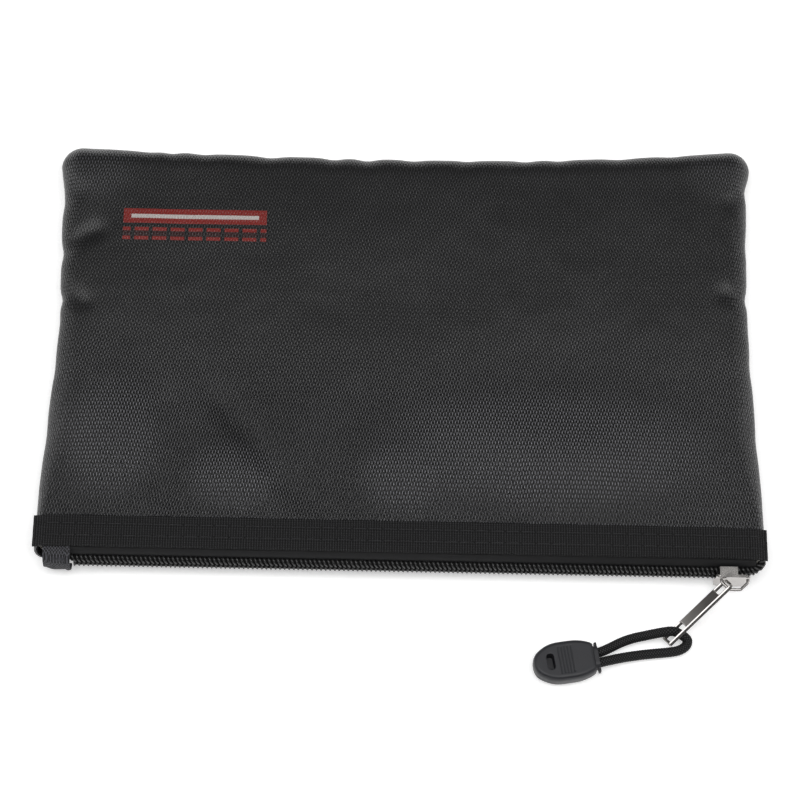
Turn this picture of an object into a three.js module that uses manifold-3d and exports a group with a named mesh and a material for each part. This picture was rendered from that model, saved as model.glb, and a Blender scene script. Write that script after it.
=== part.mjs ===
// A flat fireproof pouch with a zipped mouth: two quilted panels sewn together round three edges, a
// coil zip along the fourth, and a slider whose pull tab carries a cord loop with a moulded cord end.
// Millimetres. +X runs along the mouth, +Y from the mouth to the far seam, +Z up.
// The origin is on the flat underside, at the middle of the cloth.
import * as THREE from 'three';
import { mergeVertices } from 'three/addons/utils/BufferGeometryUtils.js';
import Module from 'manifold-3d';

const wasm = await Module();
wasm.setup();

// ---- driving dimensions ----
const GAP = 0.3;
const BAG_WIDTH = 268;
const BAG_DEPTH = 170;
const BAG_HEIGHT = 14;
const FAR_EDGE_SKEW = 3;
const CORNER_RADIUS = 9;
const EDGE_ROUNDING = 5.5;
const SEAM_HEIGHT = BAG_HEIGHT / 2;
const SEAM_GAP = 0.4;

const CLOTH_THICKNESS = 1.0;
const FELT_THICKNESS = 1.0;
const LINING_THICKNESS = 0.6;

const BINDING_LENGTH = 269;
const BINDING_WIDTH = 12;
const BINDING_THICKNESS = 0.8;
const MOUTH_Y = -85.5;
const THREAD_SIZE = 0.3;
const STITCH_ROWS = [0.27, 0.65];

const TAPE_THICKNESS = 0.6;
const TAPE_PLANE_Y = -86.9;
const TAPE_REAR_Y = -78.8;
const TAPE_ENDS = [-120.5, 128.8];
const ZIP_HEIGHT = 7.5;
const COIL_RADIUS = 1.2;
const COIL_SPACING = 2.7;
const COIL_Y = TAPE_PLANE_Y - TAPE_THICKNESS / 2 - GAP - COIL_RADIUS;

const SLIDER_X = 121.5;
const SLIDER_LENGTH = 13.2;
const PLATE_THICKNESS = 1.1;
const FRONT_PLATE_Y = -91.9;
const FRONT_PLATE_HEIGHT = 9.2;
const REAR_PLATE_Y = -86.3;
const REAR_PLATE_Z = [4.8, 9.7];

const BAIL_WIRE = 1.15;
const BAIL_SPAN = [117.3, 126.9];
const BAIL_HEIGHT = 11.2;
const BAIL_FRONT_Y = -96.4;
const BAIL_SHOULDER = 2.8;

const PULL_LENGTH = 32.1;
const PULL_WIDTH = 6.1;
const PULL_THICKNESS = 1.7;
const PULL_TIP = new THREE.Vector3(97.3, -114.5, 3.2);
const PULL_ROLL = THREE.MathUtils.degToRad(46);
const EYE_SETBACK = 2.1;
const EYE_WINDOW = { start: 1.0, end: 6.3, width: 4.3 };
const CORD_WINDOW = { start: 23.0, end: 30.9, width: 4.6 };

const CORD_DIAMETER = 3.7;
const CORD_ROUTE = [
  [67.2, -119.93, 3.6],
  [70.5, -119.37, 3.6],
  [72.8, -118.85, 3.6],
  [76.3, -117.2, 3.4],
  [80.8, -114.7, 3.0],
  [85.3, -112.9, 2.8],
  [89.8, -111.8, 2.9],
  [93.3, -111.1, 3.3],
  [96.0, -110.9, 4.4],
  [98.4, -110.8, 5.2],
  [100.6, -110.8, 4.9],
  [102.2, -111.2, 3.8],
  [104.2, -112.2, 3.2],
  [105.2, -113.5, 2.5],
  [104.5, -115.3, 2.0],
  [102.3, -116.8, 1.9],
  [99.0, -117.6, 1.9],
  [94.0, -118.2, 1.9],
  [88.0, -119.0, 2.0],
  [81.5, -120.3, 2.5],
  [76.2, -121.8, 3.3],
  [73.4, -122.62, 3.6],
  [71.1, -123.05, 3.6],
  [67.8, -123.6, 3.6],
];

const END_POSITION = new THREE.Vector3(71.3, -121.1, 3.6);
const END_YAW = THREE.MathUtils.degToRad(9.6);
const END_LENGTH = 23;
const END_MOUTH_WIDTH = 10.4;
const END_WIDTH = 15;
const END_THICKNESS = 7;
const CAVITY = { depth: 12.5, width: 9.4, height: 5.5 };
const POCKET = { middle: -16.6, width: 2.7, length: 6, depth: 4.6 };
const PLUG = { depth: 3.4, width: 8.8, height: 4.9 };
const STRAND_OFFSET = 1.87;

// ---- materials ----
const material = (color, roughness, metalness = 0) =>
  new THREE.MeshStandardMaterial({ color, roughness, metalness });
const COATED_CLOTH = material(0x2a2a2c, 0.55);
const FELT = material(0xb9b6ae, 0.95);
const FOIL = material(0xb8bbc0, 0.35, 0.8);
const GROSGRAIN = material(0x1d1d1f, 0.85);
const TAPE = material(0x1a1a1c, 0.8);
const COIL = material(0x141416, 0.4);
const THREAD = material(0x55565a, 0.7);
const NICKEL = material(0x8d8a87, 0.3, 1);
const BRAID = material(0x111112, 0.85);
const RUBBER = material(0x333438, 0.6);

// ---- solids ----
function toSolid(geometry) {
  const bare = geometry.index ? geometry.toNonIndexed() : geometry.clone();
  bare.deleteAttribute('normal');
  bare.deleteAttribute('uv');
  const merged = mergeVertices(bare, 1e-5);
  return new wasm.Manifold(new wasm.Mesh({
    numProp: 3,
    vertProperties: merged.attributes.position.array,
    triVerts: new Uint32Array(merged.index.array),
  }));
}

function toGeometry(solid) {
  const { vertProperties, triVerts } = solid.getMesh();
  const geometry = new THREE.BufferGeometry();
  geometry.setAttribute('position', new THREE.BufferAttribute(new Float32Array(vertProperties), 3));
  geometry.setIndex(new THREE.BufferAttribute(new Uint32Array(triVerts), 1));
  geometry.computeVertexNormals();
  return geometry;
}

function boxBetween(low, high) {
  const size = high.map((value, axis) => value - low[axis]);
  const middle = high.map((value, axis) => (value + low[axis]) / 2);
  return new THREE.BoxGeometry(...size).translate(...middle);
}

// A flat outline with its corners rounded; each point is [x, y, radius].
function roundedShape(points) {
  const shape = new THREE.Shape();
  points.forEach(([x, y, radius], index) => {
    const [beforeX, beforeY] = points[(index + points.length - 1) % points.length];
    const [afterX, afterY] = points[(index + 1) % points.length];
    const corner = new THREE.Vector2(x, y);
    const arrive = new THREE.Vector2(beforeX, beforeY).sub(corner).setLength(radius).add(corner);
    const leave = new THREE.Vector2(afterX, afterY).sub(corner).setLength(radius).add(corner);
    if (index === 0) shape.moveTo(arrive.x, arrive.y);
    else shape.lineTo(arrive.x, arrive.y);
    if (radius > 0) shape.quadraticCurveTo(x, y, leave.x, leave.y);
  });
  shape.closePath();
  return shape;
}

function rectangle(width, height, radius, middle = [0, 0]) {
  const [x, y] = middle;
  return roundedShape([
    [x - width / 2, y - height / 2, radius],
    [x + width / 2, y - height / 2, radius],
    [x + width / 2, y + height / 2, radius],
    [x - width / 2, y + height / 2, radius],
  ]);
}

function extrude(shape, depth, curveSegments = 4) {
  return new THREE.ExtrudeGeometry(shape, { depth, bevelEnabled: false, curveSegments });
}

// Extrudes a (y, z) outline from one X to another.
function extrudeAlongX(shape, fromX, toX) {
  const turned = new THREE.Matrix4().makeBasis(
    new THREE.Vector3(0, 1, 0),
    new THREE.Vector3(0, 0, 1),
    new THREE.Vector3(1, 0, 0),
  );
  return extrude(shape, toX - fromX).applyMatrix4(turned).translate(fromX, 0, 0);
}

// A strip of even thickness along a (y, z) centre line.
function stripOutline(line, thickness) {
  const sides = [1, -1].map((side) => line.map((point, index) => {
    const before = line[Math.max(index - 1, 0)];
    const after = line[Math.min(index + 1, line.length - 1)];
    const along = new THREE.Vector2(after.x - before.x, after.y - before.y).normalize();
    return new THREE.Vector2(
      point.x - along.y * side * thickness / 2,
      point.y + along.x * side * thickness / 2,
    );
  }));
  return new THREE.Shape([...sides[0], ...sides[1].reverse()]);
}

function tube(points, radius, sides, steps, tension = 0.5) {
  const section = new THREE.Shape();
  section.absarc(0, 0, radius, 0, Math.PI * 2);
  const route = points.map((point) => new THREE.Vector3(...point));
  return new THREE.ExtrudeGeometry(section, {
    extrudePath: new THREE.CatmullRomCurve3(route, false, 'catmullrom', tension),
    steps,
    curveSegments: sides / 2,
  });
}

const bag = new THREE.Group();

function add(parent, name, geometry, look) {
  const mesh = new THREE.Mesh(geometry, look);
  mesh.name = name;
  parent.add(mesh);
  return mesh;
}

// ---- quilted panels: cloth, felt and foil lining, each half a shallow tray open at the mouth ----
function pillow(inset) {
  const halfWidth = BAG_WIDTH / 2 - inset;
  const farY = BAG_DEPTH / 2 - inset;
  const nearY = -BAG_DEPTH;
  const radius = CORNER_RADIUS - inset;
  const rounding = EDGE_ROUNDING - inset;
  const outline = roundedShape([
    [-halfWidth, nearY, 0],
    [halfWidth, nearY, 0],
    [halfWidth, farY + FAR_EDGE_SKEW, radius],
    [-halfWidth, farY - FAR_EDGE_SKEW, radius],
  ]);
  const body = new THREE.ExtrudeGeometry(outline, {
    depth: BAG_HEIGHT - 2 * inset - 2 * rounding,
    bevelSize: rounding,
    bevelThickness: rounding,
    bevelOffset: -rounding,
    bevelSegments: 3,
    curveSegments: 4,
  });
  return toSolid(body.translate(0, 0, inset + rounding));
}

function tray(outerInset, thickness, nearY, isTop) {
  const reach = BAG_WIDTH;
  const lowZ = isTop ? SEAM_HEIGHT + SEAM_GAP / 2 : -1;
  const highZ = isTop ? BAG_HEIGHT + 1 : SEAM_HEIGHT - SEAM_GAP / 2;
  const half = toSolid(boxBetween([-reach, nearY, lowZ], [reach, reach, highZ]));
  return toGeometry(pillow(outerInset).subtract(pillow(outerInset + thickness)).intersect(half));
}

function addPanel(side) {
  const isTop = side === 'top';
  const feltInset = CLOTH_THICKNESS + GAP;
  const liningInset = feltInset + FELT_THICKNESS + GAP;
  const clothNearY = isTop ? MOUTH_Y + 0.6 : MOUTH_Y + BINDING_WIDTH + GAP;
  const liningNearY = isTop ? TAPE_REAR_Y + GAP : clothNearY;
  add(bag, `outer_${side}_panel`, tray(0, CLOTH_THICKNESS, clothNearY, isTop), COATED_CLOTH);
  add(bag, `felt_${side}`, tray(feltInset, FELT_THICKNESS, liningNearY, isTop), FELT);
  add(bag, `lining_${side}`, tray(liningInset, LINING_THICKNESS, liningNearY, isTop), FOIL);
}

// ---- bindings with their two stitch rows ----
function addBinding(side) {
  const isTop = side === 'top';
  const lowZ = isTop ? BAG_HEIGHT + GAP : THREAD_SIZE + GAP;
  const halfLength = BINDING_LENGTH / 2;
  const strip = boxBetween(
    [-halfLength, MOUTH_Y, lowZ],
    [halfLength, MOUTH_Y + BINDING_WIDTH, lowZ + BINDING_THICKNESS],
  );
  add(bag, `binding_${side}`, strip, GROSGRAIN);
  const threadZ = isTop ? lowZ + BINDING_THICKNESS + GAP : 0;
  STITCH_ROWS.forEach((row, index) => {
    const y = MOUTH_Y + BINDING_WIDTH * (1 - row);
    const thread = boxBetween(
      [-halfLength + 1, y - THREAD_SIZE / 2, threadZ],
      [halfLength - 1, y + THREAD_SIZE / 2, threadZ + THREAD_SIZE],
    );
    add(bag, `stitch_row_${side}_${['rear', 'front'][index]}`, thread, THREAD);
  });
}

// ---- zip: each tape runs out from under its binding and turns down (or up) behind its coil ----
function addTape(name, rootZ, plane) {
  const up = Math.sign(rootZ - plane);
  const radius = Math.abs(rootZ - plane);
  const centreY = TAPE_PLANE_Y + radius;
  const line = [new THREE.Vector2(TAPE_REAR_Y, rootZ)];
  const bends = 7;
  for (let step = 0; step <= bends; step += 1) {
    const angle = (Math.PI / 2) * (step / bends);
    line.push(new THREE.Vector2(
      centreY - radius * Math.sin(angle),
      plane + up * radius * Math.cos(angle),
    ));
  }
  const outline = stripOutline(line, TAPE_THICKNESS);
  add(bag, name, extrudeAlongX(outline, ...TAPE_ENDS), TAPE);
}

// The two coils lie side by side along the closed zip and part round the slider's neck.
function addCoil(name, up) {
  const z = (rise) => ZIP_HEIGHT + up * (COIL_SPACING / 2 + rise);
  const route = [
    [TAPE_ENDS[0], COIL_Y, z(0)],
    [-60, COIL_Y, z(0)],
    [0, COIL_Y, z(0)],
    [60, COIL_Y, z(0)],
    [114, COIL_Y, z(0)],
    [122, COIL_Y, z(0.65)],
    [126, COIL_Y, z(1.6)],
    [129.5, COIL_Y + 0.2, z(2.1)],
    [132.2, COIL_Y + 1, z(up > 0 ? 3 : 2.6)],
  ];
  add(bag, name, tube(route, COIL_RADIUS, 8, 72), COIL);
}

function addEndTab() {
  const line = [
    [-85.4, 13.0], [-87.8, 12.3], [-90.1, 10.7], [-90.9, 8.5], [-90.9, 5.5], [-89.7, 3.2], [-87.3, 1.5],
  ].map((point) => new THREE.Vector2(...point));
  const outline = stripOutline(line, 0.8);
  add(bag, 'zip_end_tab', extrudeAlongX(outline, -130.6, -119.6), GROSGRAIN);
}

// ---- slider ----
// An upright plate with rounded corners, from y to y + PLATE_THICKNESS.
function uprightPlate(y, lowZ, highZ, radius) {
  const outline = rectangle(SLIDER_LENGTH, highZ - lowZ, radius, [SLIDER_X, (lowZ + highZ) / 2]);
  return extrude(outline, PLATE_THICKNESS).rotateX(Math.PI / 2).translate(0, y + PLATE_THICKNESS, 0);
}

function addSlider() {
  const halfFront = FRONT_PLATE_HEIGHT / 2;
  const frontTop = ZIP_HEIGHT + halfFront;
  const frontBottom = ZIP_HEIGHT - halfFront;
  const frontInner = FRONT_PLATE_Y + PLATE_THICKNESS;
  const lipThickness = 0.8;
  const lipEndY = TAPE_PLANE_Y - TAPE_THICKNESS / 2 - 0.5;
  const lipX = [SLIDER_X - 4.7, SLIDER_X + 1.9];
  const sunk = 0.4;
  const neck = new THREE.Shape([
    new THREE.Vector2(SLIDER_X + 1.4, ZIP_HEIGHT - 0.3),
    new THREE.Vector2(SLIDER_X + 4.1, ZIP_HEIGHT - 1.2),
    new THREE.Vector2(SLIDER_X + 5.6, ZIP_HEIGHT - 0.6),
    new THREE.Vector2(SLIDER_X + 5.6, ZIP_HEIGHT + 0.6),
    new THREE.Vector2(SLIDER_X + 4.1, ZIP_HEIGHT + 1.2),
    new THREE.Vector2(SLIDER_X + 1.4, ZIP_HEIGHT + 0.3),
  ]);
  const neckDepth = REAR_PLATE_Y - frontInner + 2 * sunk;
  const neckSolid = extrude(neck, neckDepth).rotateX(Math.PI / 2)
    .translate(0, REAR_PLATE_Y + sunk, 0);
  const lips = [
    boxBetween([lipX[0], frontInner - sunk, frontTop - lipThickness], [lipX[1], lipEndY, frontTop]),
    boxBetween([lipX[0], frontInner - sunk, frontBottom], [lipX[1], lipEndY, frontBottom + lipThickness]),
  ];
  const body = [neckSolid, ...lips, uprightPlate(REAR_PLATE_Y, ...REAR_PLATE_Z, 2)]
    .reduce((solid, piece) => solid.add(toSolid(piece)),
      toSolid(uprightPlate(FRONT_PLATE_Y, frontBottom, frontTop, 2.2)));
  add(bag, 'slider_body', toGeometry(body), NICKEL);
}

// A line through the points, with each inner corner rounded off by the given amount.
function roundedPath(points, cut) {
  const path = new THREE.CurvePath();
  let start = points[0];
  for (let index = 1; index < points.length - 1; index += 1) {
    const corner = points[index];
    const arrive = points[index - 1].clone().sub(corner).setLength(cut).add(corner);
    const leave = points[index + 1].clone().sub(corner).setLength(cut).add(corner);
    path.add(new THREE.LineCurve3(start, arrive));
    path.add(new THREE.QuadraticBezierCurve3(arrive, corner, leave));
    start = leave;
  }
  path.add(new THREE.LineCurve3(start, points[points.length - 1]));
  return path;
}

// The bail is a bent wire bridge standing out from the slider's front plate, with slanted shoulders.
function addBail() {
  const [leftX, rightX] = BAIL_SPAN;
  const rootY = FRONT_PLATE_Y - GAP;
  const shoulderY = BAIL_FRONT_Y + BAIL_SHOULDER;
  const route = [
    [leftX, rootY],
    [leftX, shoulderY],
    [leftX + BAIL_SHOULDER, BAIL_FRONT_Y],
    [rightX - BAIL_SHOULDER, BAIL_FRONT_Y],
    [rightX, shoulderY],
    [rightX, rootY],
  ].map(([x, y]) => new THREE.Vector3(x, y, BAIL_HEIGHT));
  const section = new THREE.Shape();
  section.absarc(0, 0, BAIL_WIRE / 2, 0, Math.PI * 2);
  add(bag, 'slider_bail', new THREE.ExtrudeGeometry(section, {
    extrudePath: roundedPath(route, 0.5), steps: 34, curveSegments: 5,
  }), NICKEL);
}

// ---- pull tab ----
// It hangs from the middle of the bail's left shoulder. Its frame: x runs from the eye to the tip,
// y across, z out of its face.
function pullFrame() {
  const bendPoint = new THREE.Vector3(
    BAIL_SPAN[0] + BAIL_SHOULDER / 2,
    BAIL_FRONT_Y + BAIL_SHOULDER / 2,
    BAIL_HEIGHT,
  );
  const along = PULL_TIP.clone().sub(bendPoint).normalize();
  const level = new THREE.Vector3(along.y, -along.x, 0).normalize();
  const face = new THREE.Vector3().crossVectors(level, along);
  const across = level.clone().multiplyScalar(Math.cos(PULL_ROLL))
    .addScaledVector(face, -Math.sin(PULL_ROLL));
  const out = new THREE.Vector3().crossVectors(along, across);
  const start = bendPoint.clone().addScaledVector(along, -EYE_SETBACK);
  return new THREE.Matrix4().makeBasis(along, across, out).setPosition(start);
}

function addPullTab() {
  const eyeRadius = 2.2;
  const tipRadius = 0.7;
  const half = PULL_WIDTH / 2;
  const outline = roundedShape([
    [0, -half, eyeRadius],
    [PULL_LENGTH, -half, tipRadius],
    [PULL_LENGTH, half, tipRadius],
    [0, half, eyeRadius],
  ]);
  for (const { start, end, width } of [EYE_WINDOW, CORD_WINDOW]) {
    outline.holes.push(rectangle(end - start, width, 0.5, [(start + end) / 2, 0]));
  }
  const bevel = 0.3;
  const tab = new THREE.ExtrudeGeometry(outline, {
    depth: PULL_THICKNESS - 2 * bevel,
    bevelSize: bevel,
    bevelThickness: bevel,
    bevelOffset: -bevel,
    bevelSegments: 1,
    curveSegments: 4,
  }).translate(0, 0, -PULL_THICKNESS / 2 + bevel);
  const holder = new THREE.Group();
  pullFrame().decompose(holder.position, holder.quaternion, holder.scale);
  bag.add(holder);
  add(holder, 'pull_tab', tab, NICKEL);
}

// ---- cord loop and its moulded end ----
function addCordEnd() {
  const holder = new THREE.Group();
  holder.position.copy(END_POSITION);
  holder.rotation.z = END_YAW;
  bag.add(holder);

  const half = END_WIDTH / 2;
  const mouthHalf = END_MOUTH_WIDTH / 2;
  const tipHalf = 3.4;
  const bevel = { size: 1.5, thickness: 2.2 };
  const outline = roundedShape([
    [0, -mouthHalf, 1.6],
    [0, mouthHalf, 1.6],
    [-5, half, 3.8],
    [-16.5, half, 3.6],
    [-END_LENGTH, tipHalf, 3.3],
    [-END_LENGTH, -tipHalf, 3.3],
    [-16.5, -half, 3.6],
    [-5, -half, 3.8],
  ].reverse());
  const shellBody = new THREE.ExtrudeGeometry(outline, {
    depth: END_THICKNESS - 2 * bevel.thickness,
    bevelSize: bevel.size,
    bevelThickness: bevel.thickness,
    bevelOffset: -bevel.size,
    bevelSegments: 4,
    curveSegments: 7,
  }).translate(0, 0, -END_THICKNESS / 2 + bevel.thickness);
  const cavity = boxBetween(
    [-CAVITY.depth, -CAVITY.width / 2, -CAVITY.height / 2],
    [1, CAVITY.width / 2, CAVITY.height / 2],
  );
  const pocket = extrude(
    rectangle(POCKET.width, POCKET.length, 1.3, [POCKET.middle, 0]),
    POCKET.depth + 1,
  ).translate(0, 0, END_THICKNESS / 2 - POCKET.depth);
  let shell = toSolid(shellBody).subtract(toSolid(cavity)).subtract(toSolid(pocket));
  const grooves = { count: 5, pitch: 1.15, width: 0.4, depth: 0.35, length: 10.5, first: -8.6 };
  for (let index = 0; index < grooves.count; index += 1) {
    const x = grooves.first - index * grooves.pitch;
    const top = END_THICKNESS / 2;
    for (const [lowZ, highZ] of [[top - grooves.depth, top + 1], [-top - 1, -top + grooves.depth]]) {
      const groove = boxBetween(
        [x - grooves.width / 2, -grooves.length / 2, lowZ],
        [x + grooves.width / 2, grooves.length / 2, highZ],
      );
      shell = shell.subtract(toSolid(groove));
    }
  }
  add(holder, 'cord_end_shell', toGeometry(shell), RUBBER);

  // The plug closes the shell's mouth: a collar with two small ears and one slot for both strands.
  const strandHole = rectangle(
    2 * STRAND_OFFSET + CORD_DIAMETER + 2 * GAP,
    CORD_DIAMETER + 2 * GAP,
    (CORD_DIAMETER + 2 * GAP) / 2 - 0.01,
  );
  const across = (shape, fromX, toX) => extrudeAlongX(shape, fromX, toX);
  const collar = across(rectangle(PLUG.width, PLUG.height, 2.2), -PLUG.depth, 1.2);
  const ears = across(rectangle(END_MOUTH_WIDTH + 1, 3, 0.6), GAP, 1.2);
  const plug = toSolid(collar).add(toSolid(ears)).subtract(toSolid(across(strandHole, -PLUG.depth - 1, 2)));
  add(holder, 'cord_end_plug', toGeometry(plug), RUBBER);

  const knot = new THREE.SphereGeometry(1, 16, 10).scale(3.8, 3.6, 2.3);
  add(holder, 'cord_knot', knot, BRAID).position.x = -PLUG.depth - 4.8;
}

addPanel('bottom');
addPanel('top');
addBinding('bottom');
addBinding('top');
addTape('zip_tape_lower', 2.0, 5.6);
addTape('zip_tape_upper', 12.4, 9.0);
addCoil('zip_coil_lower', -1);
addCoil('zip_coil_upper', 1);
addEndTab();
addSlider();
addBail();
addPullTab();
add(bag, 'pull_cord', tube(CORD_ROUTE, CORD_DIAMETER / 2, 8, 44), BRAID);
addCordEnd();

export default bag;
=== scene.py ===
"""A flat fireproof pouch: padded coated cloth, a bound coil-zip mouth and a cord pull."""
import math

import bmesh
import bpy
import numpy as np
from mathutils import Matrix, Vector, noise


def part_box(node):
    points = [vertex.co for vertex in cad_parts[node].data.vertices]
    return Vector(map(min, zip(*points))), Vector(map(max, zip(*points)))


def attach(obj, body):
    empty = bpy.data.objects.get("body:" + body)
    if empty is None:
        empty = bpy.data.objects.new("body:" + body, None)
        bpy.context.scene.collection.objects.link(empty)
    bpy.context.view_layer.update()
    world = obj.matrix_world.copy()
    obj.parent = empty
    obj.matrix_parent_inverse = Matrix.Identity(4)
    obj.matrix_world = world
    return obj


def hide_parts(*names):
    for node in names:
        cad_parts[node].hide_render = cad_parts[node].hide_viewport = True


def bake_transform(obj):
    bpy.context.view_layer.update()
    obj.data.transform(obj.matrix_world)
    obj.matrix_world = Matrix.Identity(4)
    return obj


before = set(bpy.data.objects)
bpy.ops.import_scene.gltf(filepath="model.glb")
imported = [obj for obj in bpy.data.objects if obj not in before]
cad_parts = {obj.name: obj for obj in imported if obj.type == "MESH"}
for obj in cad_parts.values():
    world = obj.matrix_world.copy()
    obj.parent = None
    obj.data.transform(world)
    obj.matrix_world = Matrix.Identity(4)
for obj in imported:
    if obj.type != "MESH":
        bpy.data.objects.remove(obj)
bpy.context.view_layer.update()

MM = 0.001

# ---- the zip's and mouth's places, from the frame ----
BINDING_LOW, BINDING_HIGH = (np.array(corner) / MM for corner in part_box("binding_top"))
LOWER_BINDING_LOW, LOWER_BINDING_HIGH = (np.array(corner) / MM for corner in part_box("binding_bottom"))
PANEL_HIGH = np.array(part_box("outer_top_panel")[1]) / MM
TAPE_LOW, TAPE_HIGH = (np.array(corner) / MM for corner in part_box("zip_tape_upper"))
LOWER_TAPE_LOW, LOWER_TAPE_HIGH = (np.array(corner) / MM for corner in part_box("zip_tape_lower"))
TAB_LOW, TAB_HIGH = (np.array(corner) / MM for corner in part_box("zip_end_tab"))
SEAM_Z = PANEL_HIGH[2] / 2
MOUTH_Y = BINDING_LOW[1]
ZIP_Z = 7.5

# ---- camera ----
AZIMUTH = math.radians(-2.26)
ELEVATION = math.radians(65.37)
ROLL = math.radians(3.24)
DISTANCE = 1.0697
TARGET = Vector((-0.0007, -0.0148, -0.0068))
FOCAL_PIXELS = 2800
IMAGE_PIXELS = 800


def add_camera():
    """A camera that looks at the target from its azimuth and elevation, rolled about its view."""
    back = Vector((
        math.sin(AZIMUTH) * math.cos(ELEVATION),
        -math.cos(AZIMUTH) * math.cos(ELEVATION),
        math.sin(ELEVATION),
    ))
    right = Vector((math.cos(AZIMUTH), math.sin(AZIMUTH), 0))
    up = back.cross(right)
    rolled_right = right * math.cos(ROLL) + up * math.sin(ROLL)
    rolled_up = up * math.cos(ROLL) - right * math.sin(ROLL)
    data = bpy.data.cameras.new("camera")
    data.sensor_width = 36
    data.lens = FOCAL_PIXELS * data.sensor_width / IMAGE_PIXELS
    camera = bpy.data.objects.new("camera", data)
    turn = Matrix((rolled_right, rolled_up, back)).transposed().to_4x4()
    camera.matrix_world = Matrix.Translation(TARGET + back * DISTANCE) @ turn
    bpy.context.scene.collection.objects.link(camera)
    bpy.context.scene.camera = camera


add_camera()


# ---- material nodes ----
class Nodes:
    """Short calls for building one node material round its Principled shader."""

    def __init__(self, name, color, roughness, metallic=0.0, specular=0.5):
        self.material = bpy.data.materials.new(name)
        self.material.use_nodes = True
        self.tree = self.material.node_tree
        self.shader = self.tree.nodes["Principled BSDF"]
        self.shader.inputs["Base Color"].default_value = (*color, 1)
        self.shader.inputs["Roughness"].default_value = roughness
        self.shader.inputs["Metallic"].default_value = metallic
        self.shader.inputs["Specular IOR Level"].default_value = specular

    def add(self, kind, **settings):
        node = self.tree.nodes.new(kind)
        for key, value in settings.items():
            setattr(node, key, value)
        return node

    def link(self, source, target):
        self.tree.links.new(source, target)

    def set(self, socket, value):
        if isinstance(value, bpy.types.NodeSocket):
            self.link(value, socket)
        else:
            socket.default_value = value

    def math(self, operation, first, second=0.0, third=None, clamp=False):
        node = self.add("ShaderNodeMath", operation=operation, use_clamp=clamp)
        self.set(node.inputs[0], first)
        self.set(node.inputs[1], second)
        if third is not None:
            self.set(node.inputs[2], third)
        return node.outputs[0]

    def split(self, vector):
        node = self.add("ShaderNodeSeparateXYZ")
        self.link(vector, node.inputs[0])
        return node.outputs

    def point(self):
        return self.add("ShaderNodeTexCoord").outputs["Object"]

    def uv(self):
        return self.add("ShaderNodeUVMap").outputs["UV"]

    def noise(self, vector, scale, detail=3.0, roughness=0.5):
        node = self.add("ShaderNodeTexNoise")
        self.link(vector, node.inputs["Vector"])
        node.inputs["Scale"].default_value = scale
        node.inputs["Detail"].default_value = detail
        node.inputs["Roughness"].default_value = roughness
        return node.outputs["Fac"]

    def scaled(self, vector, factors):
        node = self.add("ShaderNodeVectorMath", operation="MULTIPLY")
        self.link(vector, node.inputs[0])
        node.inputs[1].default_value = factors
        return node.outputs[0]

    def dot(self, vector, direction):
        node = self.add("ShaderNodeVectorMath", operation="DOT_PRODUCT")
        self.link(vector, node.inputs[0])
        node.inputs[1].default_value = direction
        return node.outputs["Value"]

    def wave(self, coordinate, pitch, phase=0.0):
        """A cosine of the coordinate, from -1 to 1, one turn for each pitch."""
        turned = self.math("MULTIPLY_ADD", coordinate, 2 * math.pi / pitch, phase)
        return self.math("COSINE", turned)

    def remap(self, value, low, high, out_low=0.0, out_high=1.0):
        node = self.add("ShaderNodeMapRange", interpolation_type="SMOOTHSTEP")
        self.set(node.inputs["Value"], value)
        node.inputs["From Min"].default_value = low
        node.inputs["From Max"].default_value = high
        node.inputs["To Min"].default_value = out_low
        node.inputs["To Max"].default_value = out_high
        return node.outputs["Result"]

    def mix(self, factor, first, second):
        node = self.add("ShaderNodeMix", data_type="RGBA")
        self.set(node.inputs["Factor"], factor)
        for socket, value in ((node.inputs[6], first), (node.inputs[7], second)):
            self.set(socket, (*value, 1) if isinstance(value, tuple) else value)
        return node.outputs[2]

    def bump(self, height, distance, strength=1.0, normal=None):
        node = self.add("ShaderNodeBump")
        node.inputs["Strength"].default_value = strength
        node.inputs["Distance"].default_value = distance
        self.link(height, node.inputs["Height"])
        if normal is not None:
            self.link(normal, node.inputs["Normal"])
        return node.outputs["Normal"]

    def finish(self, color=None, roughness=None, normal=None):
        for name, value in (("Base Color", color), ("Roughness", roughness), ("Normal", normal)):
            if value is not None:
                self.link(value, self.shader.inputs[name])
        return self.material


# ---- mesh helpers ----
def mesh_object(name, points, faces, material, uvs=None):
    """A smooth mesh from points in millimetres, with one UV pair for each point if given."""
    mesh = bpy.data.meshes.new(name)
    mesh.from_pydata((np.asarray(points, float) * MM).tolist(), [], [list(face) for face in faces])
    mesh.validate()
    if uvs is not None:
        layer = mesh.uv_layers.new(name="UVMap")
        corner_points = np.empty(len(mesh.loops), int)
        mesh.loops.foreach_get("vertex_index", corner_points)
        layer.data.foreach_set("uv", np.asarray(uvs, float)[corner_points].ravel())
    mesh.shade_smooth()
    mesh.materials.append(material)
    obj = bpy.data.objects.new(name, mesh)
    bpy.context.scene.collection.objects.link(obj)
    return obj


def apply_modifiers(obj):
    """Makes the shape that the modifiers give the object's own mesh."""
    depsgraph = bpy.context.evaluated_depsgraph_get()
    baked = bpy.data.meshes.new_from_object(obj.evaluated_get(depsgraph))
    obj.modifiers.clear()
    obj.data = baked
    return obj


def outward(obj):
    """Turns every face of a closed mesh to look outward."""
    shape = bmesh.new()
    shape.from_mesh(obj.data)
    bmesh.ops.recalc_face_normals(shape, faces=shape.faces)
    shape.to_mesh(obj.data)
    shape.free()
    return obj


def grid_faces(rows, columns, wrap=False, first=0):
    """Quads between rows of points; wrap joins the last column to the first."""
    faces = []
    for row in range(rows - 1):
        for column in range(columns if wrap else columns - 1):
            after = (column + 1) % columns
            a = first + row * columns + column
            b = first + row * columns + after
            faces.append((a, b, b + columns, a + columns))
    return faces


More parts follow.
